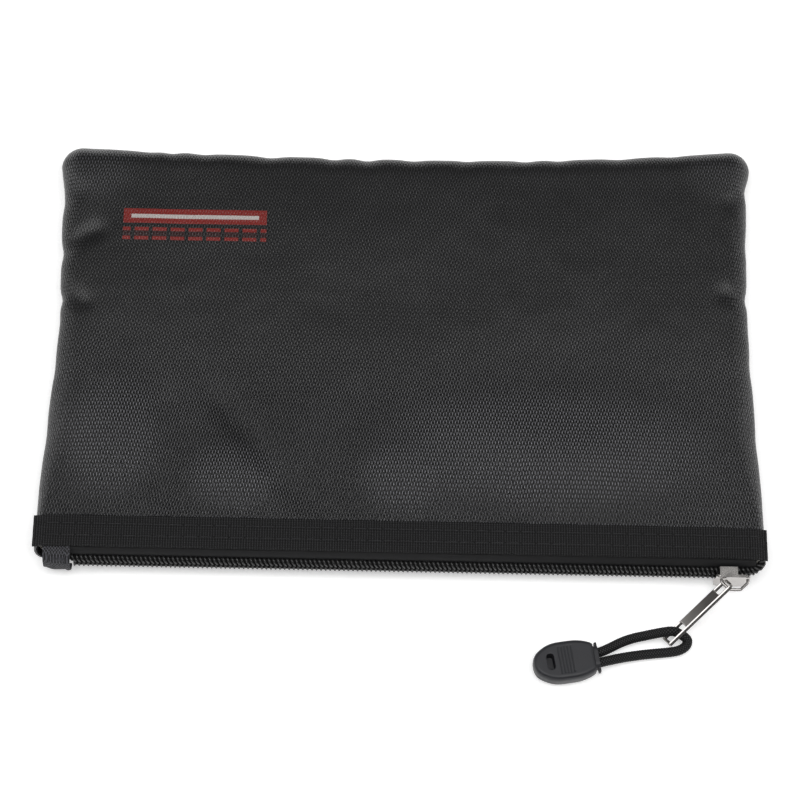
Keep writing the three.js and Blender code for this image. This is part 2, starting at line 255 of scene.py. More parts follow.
def smooth_route(points, spacing):
    """Points along a Catmull-Rom curve through the given ones, evenly spaced."""
    points = np.asarray(points, float)
    padded = np.vstack([2 * points[0] - points[1], points, 2 * points[-1] - points[-2]])
    fine = []
    for index in range(len(points) - 1):
        a, b, c, d = padded[index:index + 4]
        for t in np.linspace(0, 1, 40, endpoint=False):
            fine.append(0.5 * (
                2 * b + (c - a) * t + (2 * a - 5 * b + 4 * c - d) * t**2
                + (3 * b - a - 3 * c + d) * t**3
            ))
    fine.append(points[-1])
    fine = np.array(fine)
    along = np.concatenate([[0], np.cumsum(np.linalg.norm(np.diff(fine, axis=0), axis=1))])
    count = max(2, int(round(along[-1] / spacing)) + 1)
    wanted = np.linspace(0, along[-1], count)
    return np.stack([np.interp(wanted, along, fine[:, axis]) for axis in range(3)], axis=1)


def route_frames(route, first_side):
    """Unit tangent, side and up vectors along a route, turned as little as possible."""
    tangents = np.gradient(route, axis=0)
    tangents /= np.linalg.norm(tangents, axis=1)[:, None]
    side = np.asarray(first_side, float)
    sides = []
    for tangent in tangents:
        side = side - tangent * (side @ tangent)
        side /= np.linalg.norm(side)
        sides.append(side)
    sides = np.array(sides)
    return tangents, sides, np.cross(tangents, sides)


def tube_points(route, radius, sides, first_side=(0, 0, 1)):
    """Rings of points round a route; radius is one number or one for each point and side."""
    _, side, up = route_frames(route, first_side)
    angle = np.linspace(0, 2 * math.pi, sides, endpoint=False)
    radius = np.broadcast_to(radius, (len(route), sides))
    ring = side[:, None] * np.cos(angle)[None, :, None] + up[:, None] * np.sin(angle)[None, :, None]
    return route[:, None] + ring * radius[:, :, None]


def add_tube(points, faces, route, radius, sides, first_side=(0, 0, 1)):
    """Appends a closed tube to lists of points and faces."""
    first = len(points)
    rings = tube_points(route, radius, sides, first_side)
    points.extend(rings.reshape(-1, 3).tolist())
    faces.extend(grid_faces(len(route), sides, wrap=True, first=first))
    last = first + (len(route) - 1) * sides
    faces.append(tuple(range(first + sides - 1, first - 1, -1)))
    faces.append(tuple(range(last, last + sides)))


def smoothstep(value, low, high):
    t = np.clip((np.asarray(value, float) - low) / (high - low), 0, 1)
    return t * t * (3 - 2 * t)


def blend_mouth(obj):
    """Bakes the transform of a piece of the upper half into its mesh and reads its points."""
    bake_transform(obj)
    points = np.empty(len(obj.data.vertices) * 3)
    obj.data.vertices.foreach_get("co", points)
    return obj


# ---- cord loop ----
CORD_DIAMETER = 3.7
CORD_ROUTE = [
    (67.2, -119.93, 3.6),
    (70.5, -119.37, 3.6),
    (72.8, -118.85, 3.6),
    (76.3, -117.2, 3.4),
    (80.8, -114.7, 3.0),
    (85.3, -112.9, 2.8),
    (89.8, -111.8, 2.9),
    (93.3, -111.1, 3.3),
    (96.0, -110.9, 4.4),
    (98.4, -110.8, 5.2),
    (100.6, -110.8, 4.9),
    (102.2, -111.2, 3.8),
    (104.2, -112.2, 3.2),
    (105.2, -113.5, 2.5),
    (104.5, -115.3, 2.0),
    (102.3, -116.8, 1.9),
    (99.0, -117.6, 1.9),
    (94.0, -118.2, 1.9),
    (88.0, -119.0, 2.0),
    (81.5, -120.3, 2.5),
    (76.2, -121.8, 3.3),
    (73.4, -122.62, 3.6),
    (71.1, -123.05, 3.6),
    (67.8, -123.6, 3.6),
]
BRAID_CARRIERS = 8
BRAID_PITCH = 8.0


def braid_material():
    """Braided yarns; the UVs count yarns round the cord and along it."""
    nodes = Nodes("braid", (0.006, 0.006, 0.0065), 0.6, specular=0.2)
    around, along, _ = nodes.split(nodes.uv())
    crossings = nodes.math("MULTIPLY", nodes.wave(around, 1.0), nodes.wave(along, 1.0))
    fibres = nodes.noise(nodes.point(), 9000, 2)
    # Painted shade: a near-black lattice between lighter yarn crossings, standing for the shade in the
    # braid's valleys.
    color = nodes.mix(nodes.remap(crossings, -0.1, 0.8), (0.0008, 0.0008, 0.0008), (0.05, 0.05, 0.052))
    return nodes.finish(color=color, normal=nodes.bump(fibres, 0.00005, 0.5))


def braid_height(along, angle):
    """Height of the braid's surface, 0 to 1, where two sets of yarns cross over and under."""
    turn = angle / (2 * math.pi) * BRAID_CARRIERS
    rise = along / BRAID_PITCH * BRAID_CARRIERS
    left, right = turn + rise, turn - rise
    left_cell, right_cell = np.floor(left), np.floor(right)
    left_off, right_off = left - left_cell - 0.5, right - right_cell - 0.5
    left_on_top = (left_cell + right_cell) % 2 < 1
    across = np.where(left_on_top, left_off, right_off)
    length = np.where(left_on_top, right_off, left_off)
    return np.sqrt(np.clip(1 - (across / 0.56) ** 2, 0, 1)) * (1 - 0.75 * (2 * length) ** 2 * 0.6)


def bend_at_window(cord):
    """Bakes the cord's transform into its mesh and reads its points."""
    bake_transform(cord)
    points = np.empty(len(cord.data.vertices) * 3)
    cord.data.vertices.foreach_get("co", points)


def add_cord():
    """The braided loop, as a closed tube whose surface rises and falls with its yarns."""
    sides, spacing, depth = 56, 0.16, 0.34
    route = smooth_route(CORD_ROUTE, spacing)
    steps = np.linalg.norm(np.diff(route, axis=0), axis=1)
    along = np.concatenate([[0], np.cumsum(steps)])
    angle = np.linspace(0, 2 * math.pi, sides, endpoint=False)
    height = braid_height(along[:, None], angle[None, :])
    radius = CORD_DIAMETER / 2 - depth * (1 - height)
    points, faces = [], []
    add_tube(points, faces, route, radius, sides, first_side=(0, 0, -1))
    around = np.tile(angle / (2 * math.pi) * BRAID_CARRIERS, len(route))
    lengthwise = np.repeat(along / BRAID_PITCH * BRAID_CARRIERS, sides)
    uvs = np.stack([around, lengthwise], axis=1)
    cord = mesh_object("cord_loop", points, faces, braid_material(), uvs)
    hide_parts("pull_cord")
    bend_at_window(cord)


# ---- moulded and cast pieces, rounded off from their solids ----
def rounded_copy(name, node, material, voxel, smoothing):
    """A copy of a CAD node with its edges rounded off by a fine remesh, which stands for the node."""
    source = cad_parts[node]
    mesh = source.data.copy()
    mesh.transform(source.matrix_world)
    mesh.materials.clear()
    mesh.materials.append(material)
    obj = bpy.data.objects.new(name, mesh)
    bpy.context.scene.collection.objects.link(obj)
    remesh = obj.modifiers.new("remesh", "REMESH")
    remesh.mode = "VOXEL"
    remesh.voxel_size = voxel * MM
    remesh.use_smooth_shade = True
    smooth = obj.modifiers.new("smooth", "SMOOTH")
    smooth.factor = 0.5
    smooth.iterations = smoothing
    apply_modifiers(obj)
    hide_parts(node)
    return obj


def soft_plastic_material():
    nodes = Nodes("soft_plastic", (0.018, 0.0185, 0.022), 0.5, specular=0.45)
    point = nodes.point()
    grain = nodes.noise(point, 3200, 3)
    scuff = nodes.noise(point, 160, 4)
    roughness = nodes.remap(scuff, 0.3, 0.75, 0.4, 0.55)
    color = nodes.mix(scuff, (0.016, 0.0165, 0.0195), (0.021, 0.0215, 0.026))
    return nodes.finish(color=color, roughness=roughness, normal=nodes.bump(grain, 0.00003, 0.3))


POLISHED = (0.52, 0.5, 0.485)
BRUSHED = (0.42, 0.4, 0.385)
SHADED = (0.36, 0.345, 0.335)


def nickel_material(name, tint=POLISHED, brushed_side=None):
    """Dark nickel plate, polished all over but for the brushed faces on both broad sides, if given."""
    nodes = Nodes(name, tint, 0.16, metallic=1.0)
    cloud = nodes.noise(nodes.point(), 300, 3)
    color = nodes.mix(cloud, tuple(0.85 * part for part in tint), tint)
    roughness = nodes.remap(cloud, 0.3, 0.7, 0.13, 0.24)
    if brushed_side is not None:
        normal = nodes.add("ShaderNodeTexCoord").outputs["Normal"]
        facing = nodes.math("ABSOLUTE", nodes.dot(normal, brushed_side))
        brushed = nodes.remap(facing, 0.97, 0.99)
        color = nodes.mix(brushed, color, BRUSHED)
        roughness = nodes.math("MULTIPLY_ADD", brushed, 0.26, roughness)
    return nodes.finish(color=color, roughness=roughness)


def add_cord_end():
    plastic = soft_plastic_material()
    shell = rounded_copy("cord_end", "cord_end_shell", plastic, 0.17, 3)
    collar = rounded_copy("cord_collar", "cord_end_plug", plastic, 0.14, 2)
    knot = rounded_copy("knot", "cord_knot", braid_material(), 0.3, 2)
    for obj, slot in ((shell, "soft_plastic"), (collar, "soft_plastic"), (knot, "braid")):
        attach(obj, "pull_end")


add_cord_end()
add_cord()


# ---- slider and pull ----
def bevelled_copy(name, node, width):
    """A copy of a CAD node with flat faces and its edges rounded by the width, if any is given."""
    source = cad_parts[node]
    mesh = source.data.copy()
    mesh.transform(source.matrix_world)
    mesh.materials.clear()
    shape = bmesh.new()
    shape.from_mesh(mesh)
    bmesh.ops.remove_doubles(shape, verts=shape.verts, dist=0.002 * MM)
    bmesh.ops.dissolve_limit(
        shape, angle_limit=math.radians(2), verts=shape.verts, edges=shape.edges,
    )
    shape.to_mesh(mesh)
    shape.free()
    obj = bpy.data.objects.new(name, mesh)
    bpy.context.scene.collection.objects.link(obj)
    if width:
        bevel = obj.modifiers.new("bevel", "BEVEL")
        bevel.width = width * MM
        bevel.segments = 2
        bevel.limit_method = "ANGLE"
        bevel.angle_limit = math.radians(25)
        obj.modifiers.new("normals", "WEIGHTED_NORMAL")
        mesh.shade_smooth()
    else:
        mesh.shade_flat()
    apply_modifiers(obj)
    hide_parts(node)
    return obj


def broad_side(obj):
    """The direction that the largest faces of a plate look in."""
    faces = sorted(obj.data.polygons, key=lambda face: face.area)
    return tuple(faces[-1].normal)


def add_metal():
    nickel = nickel_material("nickel")
    slider = bevelled_copy("slider", "slider_body", 0.12)
    slider.data.materials.append(nickel)
    bail = rounded_copy("bail", "slider_bail", nickel_material("bail_nickel", SHADED), 0.09, 3)
    pull = bevelled_copy("pull", "pull_tab", 0)
    pull.data.materials.append(nickel_material("brushed_nickel", brushed_side=broad_side(pull)))
    for obj, body in ((slider, "slider"), (bail, "slider"), (pull, "pull")):
        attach(obj, body)


add_metal()


# ---- the padded panels ----
# The outline's sides at a few places along them: (Y, left side's X, right side's X).
SIDE_LINE = np.array([
    (-85, -134.3, 134.3),
    (-60, -134.0, 134.0),
    (-30, -132.6, 132.8),
    (8, -130.6, 131.6),
    (24, -131.4, 131.7),
    (50, -132.4, 132.6),
    (66, -132.4, 133.2),
    (76, -134.0, 134.8),
    (92, -134.2, 134.8),
])
FAR_LEFT, FAR_MIDDLE, FAR_RIGHT = 84.0, 81.6, 88.6
CLOTH_WIDTH, CLOTH_DEPTH = 268.0, 170.0
CLOTH_FRONT = -85
CORNER_RADIUS = 9.0
EDGE_RADIUS = 9.0
MOUTH_EDGE_RADIUS = 3.0

# Soft swellings of the upper panel: (x, y, half width in X, half width in Y, height).
SWELLINGS = [
    (52, -44, 50, 19, 3.2),
    (66, -52, 20, 12, 1.8),
    (-108, -42, 15, 20, 3.0),
    (-62, -56, 14, 11, 2.6),
    (0, -55, 13, 12, 1.6),
    (-122, 72, 14, 12, 0.8),
    (124, 78, 13, 12, 0.8),
]
# Folds pressed into the upper panel: (x, y) of both ends, half width, depth.
FOLDS = [
    ((-88, -22), (-87, -70), 4.5, 1.3),
    ((-72, -22), (-36, -66), 5.0, 1.5),
    ((42, -46), (42, -74), 3.2, 1.0),
    ((10, -58), (11, -74), 3.0, 0.8),
    ((-133, 37), (-116, 46), 3.6, 1.3),
    ((-131, 18), (-119, 13), 3.2, 1.0),
    ((132, 20), (120, 24), 3.2, 1.1),
    ((134, 66), (124, 62), 3.0, 0.7),
    ((-132, 64), (-124, 60), 3.0, 0.6),
]
# Tucks along the seams: (distance along the side, depth, half length).
LEFT_TUCKS = [(60, 0.5, 4), (38, 0.9, 4), (18, 0.9, 3), (-12, 0.4, 6), (-40, 0.4, 7)]
RIGHT_TUCKS = [(68, 0.8, 4), (44, 0.4, 5), (21, 0.8, 3), (-8, 0.5, 6), (-38, 0.4, 7)]
FAR_TUCKS = [
    (-100, 0.5, 5), (-91, 0.7, 3), (-79, 0.6, 4), (-53, 0.9, 5), (-28, 0.9, 4), (-15, 1.0, 4),
    (3, 0.6, 4), (24, 0.5, 4), (47, 0.7, 4), (60, 0.6, 4), (84, 0.6, 5), (104, 0.5, 4),
]


def tuck_depth(position, tucks):
    """How far the seam is drawn in at a place along it."""
    return sum(depth * np.exp(-((position - place) / length) ** 2) for place, depth, length in tucks)


def fold_depth(x, y):
    """How far the folds press the panel in."""
    total = 0
    for start, end, width, depth in FOLDS:
        start, end = np.array(start, float), np.array(end, float)
        along = end - start
        length = np.linalg.norm(along)
        along /= length
        share = ((x - start[0]) * along[0] + (y - start[1]) * along[1]) / length
        off = (x - start[0]) * along[1] - (y - start[1]) * along[0]
        ends = np.exp(-np.clip(np.abs(share - 0.5) - 0.35, 0, None) ** 2 / 0.03)
        total = total + depth * ends * np.exp(-(off / width) ** 2)
    return total


def swelling(x, y):
    """How far the swellings lift the panel."""
    return sum(
        height * np.exp(-((x - cx) / wide) ** 2 - ((y - cy) / deep) ** 2)
        for cx, cy, wide, deep, height in SWELLINGS
    )


def ripple(x, y, scale, seed):
    """Gentle unevenness, from about -1 to 1."""
    flat_x, flat_y = np.ravel(x), np.ravel(y)
    values = [noise.noise((a / scale, b / scale, seed)) for a, b in zip(flat_x, flat_y)]
    return np.reshape(values, np.shape(x))


def edge_steps(length, spacing, dense_both):
    """Distances from one edge to the other, crowded where the panel curves down to its seam."""
    crowd = np.array([0, 0.12, 0.45, 1.0, 1.8, 2.8, 4.0, 5.4, 7.0, 8.8])
    start = crowd if dense_both else np.array([0.0])
    middle_from = start[-1] + spacing
    middle_to = length - crowd[-1] - spacing
    middle = np.linspace(middle_from, middle_to, int((middle_to - middle_from) / spacing))
    return np.concatenate([start, middle, (length - crowd)[::-1]])


def panel_points(inset, spacing, upper):
    """Grid of points on one half of the pouch, inset from the outer cloth, and its cloth UVs."""
    across = edge_steps(CLOTH_WIDTH, spacing, True) / CLOTH_WIDTH
    back = edge_steps(CLOTH_DEPTH, spacing, False) / CLOTH_DEPTH
    s, t = np.meshgrid(across, back)
    y_flat = CLOTH_FRONT + t * CLOTH_DEPTH
    left = np.interp(y_flat, SIDE_LINE[:, 0], SIDE_LINE[:, 1])
    right = np.interp(y_flat, SIDE_LINE[:, 0], SIDE_LINE[:, 2])
    left = left + tuck_depth(y_flat, LEFT_TUCKS) + inset
    right = right - tuck_depth(y_flat, RIGHT_TUCKS) - inset
    x = left + s * (right - left)
    side = x / (CLOTH_WIDTH / 2)
    far = np.where(side < 0, FAR_LEFT, FAR_RIGHT) * side**2 + FAR_MIDDLE * (1 - side**2)
    far = far - tuck_depth(x, FAR_TUCKS) - inset
    near = MOUTH_Y + 0.6 + 1.8 * inset
    y = near + t * (far - near)

    # Distances to the seams, and the far corners rounded off.
    radius = CORNER_RADIUS - inset
    to_left, to_right, to_far = x - left, right - x, far - y
    a = np.clip(1 - np.minimum(to_left, to_right) / radius, 0, 1)
    b = np.clip(1 - to_far / radius, 0, 1)
    shrink_a, shrink_b = a * np.sqrt(1 - b**2 / 2), b * np.sqrt(1 - a**2 / 2)
    x = x + np.where(x < 0, 1, -1) * (a - shrink_a) * radius
    y = y - (b - shrink_b) * radius
    reach = np.hypot(shrink_a, shrink_b)
    edge = 1 - np.clip(reach, 0, 1)

    # Height over the seam: a quarter round at the edges, tighter towards the mouth.
    tight = 1 - smoothstep(y, -80, -30)
    rounding = EDGE_RADIUS + (MOUTH_EDGE_RADIUS - EDGE_RADIUS) * tight
    inside = np.clip(edge * radius / (rounding * radius / CORNER_RADIUS), 0, 1)
    rise = np.sqrt(np.clip(1 - (1 - inside) ** 2, 0, 1))
    half = SEAM_Z - inset
    flatness = smoothstep(edge * radius, 0, 7)
    if upper:
        crown = 0.9 * (1 - (x / 150) ** 2) * smoothstep(y, -80, -45) * (1 - smoothstep(y, 40, 88))
        relief = swelling(x, y) * smoothstep(y, -84, -64) - fold_depth(x, y) + crown
        relief = relief + 0.3 * ripple(x, y, 26, 1.7) + 0.12 * ripple(x, y, 9, 5.1)
        relief = relief * smoothstep(y, -86, -70)
        edge_relief = 0.35 * ripple(x, y, 7, 9.3) * (1 - smoothstep(edge * radius, 2, 9))
        z = SEAM_Z + half * rise + relief * flatness + edge_relief * rise * smoothstep(y, -80, -60)
    else:
        relief = 0.25 * ripple(x, y, 24, 3.3)
        z = SEAM_Z - half * rise + (np.abs(relief) + 0.02) * flatness
    points = np.stack([x, y, z], axis=2)

    # Cloth coordinates: lengths along the surface, so that the weave keeps its size over the edges.
    step_u = np.linalg.norm(np.diff(points, axis=1), axis=2)
    step_v = np.linalg.norm(np.diff(points, axis=0), axis=2)
    u = np.concatenate([np.zeros((len(back), 1)), np.cumsum(step_u, axis=1)], axis=1)
    u = u - u[:, len(across) // 2][:, None]
    v = np.concatenate([np.zeros((1, len(across))), np.cumsum(step_v, axis=0)], axis=0)
    return points, np.stack([u, v], axis=2)


CLOTH_THICKNESS = 0.8
WEAVE_X, WEAVE_Y = 2.2, 3.4
PRINT_RED = (0.24, 0.018, 0.014)


def swelling_sheen_mask(nodes, point):
    """Full on top of each soft swelling, where a painted sheen brightens the cloth, and none between
    them.
    """
    x, y, _ = nodes.split(nodes.scaled(point, (1 / MM, 1 / MM, 1 / MM)))
    mask = 0.0
    for center_x, center_y, wide, deep, _ in SWELLINGS:
        off_x = nodes.math("MULTIPLY_ADD", x, 1 / wide, -center_x / wide)
        off_y = nodes.math("MULTIPLY_ADD", y, 1 / deep, -center_y / deep)
        spread = nodes.math("MULTIPLY_ADD", off_x, off_x, nodes.math("MULTIPLY", off_y, off_y))
        mask = nodes.math("MAXIMUM", mask, nodes.remap(spread, 0.1, 2.2, 1.0, 0.0))
    return mask


def coated_cloth_material(name, printed):
    """Black coated glass cloth: rows of short raised yarn floats, with a slower step across them, and
    painted glints on the float crowns.
    """
    nodes = Nodes(name, (0.01, 0.01, 0.011), 0.36, specular=0.55)
    uv = nodes.split(nodes.uv())
    point = nodes.point()
    wander = nodes.noise(point, 60, 2)
    u = nodes.math("MULTIPLY_ADD", wander, 0.5, uv[0])
    v = nodes.math("MULTIPLY_ADD", wander, -0.4, uv[1])
    rows = nodes.math("MULTIPLY", nodes.wave(u, WEAVE_X / 2), nodes.wave(v, WEAVE_Y))
    steps = nodes.math("MULTIPLY", nodes.wave(u, WEAVE_X, 0.8), nodes.wave(v, WEAVE_Y / 2, 0.9))
    fine = nodes.noise(point, 2600, 2)
    height = nodes.math("MULTIPLY_ADD", steps, 0.28, rows)
    floats = nodes.remap(height, 0.0, 1.1)
    # Painted glints: the crowns of the floats are coloured bright, as if they caught the light.
    painted_glints = nodes.remap(height, 0.1, 1.0)
    height = nodes.math("MULTIPLY_ADD", fine, 0.9, height)
    # Towards the back the weave is drawn flatter, and its painted glints are dimmer there.
    flatter_and_dimmer_to_back = nodes.remap(nodes.split(point)[1], -0.035, 0.015, 1.0, 0.42)
    height = nodes.math("MULTIPLY", height, flatter_and_dimmer_to_back)
    # Painted sheen: the glints are brighter on the swellings and vary in patches elsewhere.
    patchy = nodes.remap(nodes.noise(point, 24, 2), 0.35, 0.65, 0.36, 0.6)
    painted_sheen = nodes.math("MULTIPLY_ADD", swelling_sheen_mask(nodes, point), 0.75, patchy)
    painted_glints = nodes.math("MULTIPLY", nodes.math("MULTIPLY", painted_glints, flatter_and_dimmer_to_back), painted_sheen)
    color = nodes.mix(painted_glints, (0.0008, 0.0008, 0.001), (0.17, 0.17, 0.185))
    roughness = nodes.remap(floats, 0.0, 1.0, 0.34, 0.16)
    if printed:
        ink = print_mask(nodes, point)
        worn = nodes.remap(nodes.math("ADD", floats, fine), 0.25, 0.9, 0.72, 1.0)
        red = nodes.mix(fine, tuple(0.8 * part for part in PRINT_RED), PRINT_RED)
        color = nodes.mix(nodes.math("MULTIPLY", ink["red"], worn), color, red)
        color = nodes.mix(nodes.math("MULTIPLY", ink["white"], worn), color, (0.5, 0.48, 0.46))
    return nodes.finish(color=color, roughness=roughness, normal=nodes.bump(height, 0.00022, 1.0))


# A plain printed mark: one filled bar with a light line in it, and a row of blocks under it.
PRINT_X, PRINT_BAR_Y, PRINT_ROW_Y = (-108.2, -53.2), (48.0, 54.3), (40.8, 46.2)
PRINT_LINE_Y = (50.2, 51.9)


def print_mask(nodes, point):
    """Where the printed mark's red and light inks lie."""
    place = nodes.split(point)
    x = nodes.math("DIVIDE", place[0], MM)
    y = nodes.math("DIVIDE", place[1], MM)
    z = nodes.math("DIVIDE", place[2], MM)

    def between(value, low, high, soft=0.12):
        rise = nodes.remap(value, low - soft, low + soft)
        fall = nodes.remap(value, high - soft, high + soft, 1.0, 0.0)
        return nodes.math("MULTIPLY", rise, fall)

    on_top = nodes.math("GREATER_THAN", z, SEAM_Z + 2)
    span = nodes.math("MULTIPLY", between(x, *PRINT_X), on_top)
    bar = nodes.math("MULTIPLY", span, between(y, *PRINT_BAR_Y))
    gap = nodes.remap(nodes.wave(x, 6.9, 0.9), 0.72, 0.82, 1.0, 0.0)
    hollow = between(y, PRINT_ROW_Y[0] + 1.5, PRINT_ROW_Y[1] - 1.5)
    frame_only = nodes.math("SUBTRACT", 1.0, nodes.math("MULTIPLY", hollow, 0.9))
    row = nodes.math("MULTIPLY", span, between(y, *PRINT_ROW_Y))
    row = nodes.math("MULTIPLY", nodes.math("MULTIPLY", row, gap), frame_only)
    line = nodes.math("MULTIPLY", bar, between(y, *PRINT_LINE_Y))
    line = nodes.math("MULTIPLY", line, between(x, PRINT_X[0] + 3, PRINT_X[1] - 3))
    return {"red": nodes.math("MAXIMUM", bar, row), "white": line}


def add_panel(name, node, inset, thickness, spacing, upper, material):
    points, uvs = panel_points(inset, spacing, upper)
    rows, columns = points.shape[:2]
    faces = grid_faces(rows, columns)
    if not upper:
        faces = [face[::-1] for face in faces]
    obj = mesh_object(name, points.reshape(-1, 3), faces, material, uvs.reshape(-1, 2))
    solidify = obj.modifiers.new("thickness", "SOLIDIFY")
    solidify.thickness = thickness * MM
    solidify.offset = -1
    apply_modifiers(obj)
    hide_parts(node)
    if upper:
        blend_mouth(obj)
    else:
        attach(obj, "bag")
    return obj


def felt_material():
    nodes = Nodes("felt", (0.6, 0.58, 0.54), 0.95, specular=0.2)
    point = nodes.point()
    fibres = nodes.noise(point, 1500, 6, 0.7)
    color = nodes.mix(fibres, (0.42, 0.4, 0.36), (0.68, 0.66, 0.61))
    return nodes.finish(color=color, normal=nodes.bump(fibres, 0.0004, 0.7))


def foil_material():
    """Foil-faced glass cloth: a bright crinkled skin over a fine square weave."""
    nodes = Nodes("foil_lining", (0.62, 0.63, 0.65), 0.34, metallic=0.85)
    uv = nodes.split(nodes.uv())
    weave = nodes.math("MULTIPLY", nodes.wave(uv[0], 1.1), nodes.wave(uv[1], 1.1))
    crinkle = nodes.noise(nodes.point(), 240, 5, 0.6)
    height = nodes.math("MULTIPLY_ADD", crinkle, 3.0, nodes.math("MULTIPLY", weave, 0.35))
    roughness = nodes.remap(crinkle, 0.3, 0.7, 0.26, 0.46)
    color = nodes.mix(crinkle, (0.5, 0.51, 0.53), (0.72, 0.73, 0.75))
    return nodes.finish(color=color, roughness=roughness, normal=nodes.bump(height, 0.0003, 0.7))


FELT_INSET, FELT_THICKNESS = 1.4, 0.9
LINING_INSET, LINING_THICKNESS = 2.8, 0.35


def add_panels():
    felt, foil = felt_material(), foil_material()
    spacing = 1.8
    for side, upper in (("top", True), ("bottom", False)):
        cloth = coated_cloth_material(f"coated_cloth_{side}", printed=upper)
        outer = add_panel(
            f"{side}_cloth", f"outer_{side}_panel", 0, CLOTH_THICKNESS, spacing, upper,
            cloth,
        )
        pad = add_panel(
            f"{side}_felt", f"felt_{side}", FELT_INSET, FELT_THICKNESS, 4.0, upper, felt,
        )
        lining = add_panel(
            f"{side}_lining", f"lining_{side}", LINING_INSET, LINING_THICKNESS, 3.0, upper,
            foil,
        )


add_panels()


# ---- bindings and their stitches ----
RIB_PITCH = 0.95
STITCH_ROWS = (0.27, 0.65)
STITCH_PITCH = 5.6
FIRST_STITCH = -130.0


def grosgrain_material(rows_y, first_hole):
    nodes = Nodes("grosgrain", (0.008, 0.008, 0.0085), 0.7, specular=0.35)
    point = nodes.point()
    x, y, z = nodes.split(nodes.scaled(point, (1 / MM, 1 / MM, 1 / MM)))
    ribs = nodes.remap(nodes.wave(x, RIB_PITCH), -0.5, 1.0)
    yarn = nodes.wave(nodes.math("ADD", y, z), RIB_PITCH)
    height = nodes.math("MULTIPLY_ADD", yarn, 0.3, ribs)
    fuzz = nodes.noise(point, 2600, 3)
    height = nodes.math("MULTIPLY_ADD", fuzz, 0.5, height)
    # Painted shade: the grooves between the ribs and yarns are coloured near black, the rib crests
    # lighter.
    grid = nodes.math("MULTIPLY", ribs, nodes.remap(yarn, -1.0, 1.0, 0.45, 1.0))
    color = nodes.mix(grid, (0.0006, 0.0006, 0.0007), (0.034, 0.034, 0.036))
    color = nodes.mix(nodes.remap(fuzz, 0.5, 0.85, 0.0, 0.25), color, (0.022, 0.022, 0.024))
    # Painted shade: each stitch hole along the rows is coloured near black.
    at_hole = nodes.remap(nodes.wave(nodes.math("SUBTRACT", x, first_hole), STITCH_PITCH), 0.92, 0.97)
    for row_y in rows_y:
        off_row = nodes.math("ABSOLUTE", nodes.math("SUBTRACT", y, row_y))
        on_row = nodes.remap(off_row, 0.12, 0.32, 1.0, 0.0)
        color = nodes.mix(nodes.math("MULTIPLY", on_row, at_hole), color, (0.0005, 0.0005, 0.0005))
    return nodes.finish(color=color, normal=nodes.bump(height, 0.00024, 1.0))


def thread_material():
    nodes = Nodes("thread", (0.02, 0.02, 0.021), 0.5, specular=0.4)
    x = nodes.split(nodes.scaled(nodes.point(), (1 / MM, 1 / MM, 1 / MM)))[0]
    twist = nodes.remap(nodes.wave(x, 0.42), -1.0, 1.0)
    # Painted shade in the grooves of the thread's twist, lighter on its ridges.
    color = nodes.mix(twist, (0.008, 0.008, 0.0085), (0.035, 0.035, 0.038))
    return nodes.finish(color=color, normal=nodes.bump(twist, 0.00006, 0.6))


def stitch_rows(low, high):
    return [high[1] - (high[1] - low[1]) * row for row in STITCH_ROWS]


def end_drop(x, side_drop):
    """How far the binding's ends sink where the cloth curves down to the side seams."""
    return side_drop * smoothstep(np.abs(x), 127, 135.5) ** 1.5


def binding_height(x, side_drop=1.6):
    wobble = 0.22 * np.array([noise.noise((a / 19, 0.4, 2.2)) for a in np.ravel(x)])
    return wobble.reshape(np.shape(x)) - end_drop(x, side_drop)


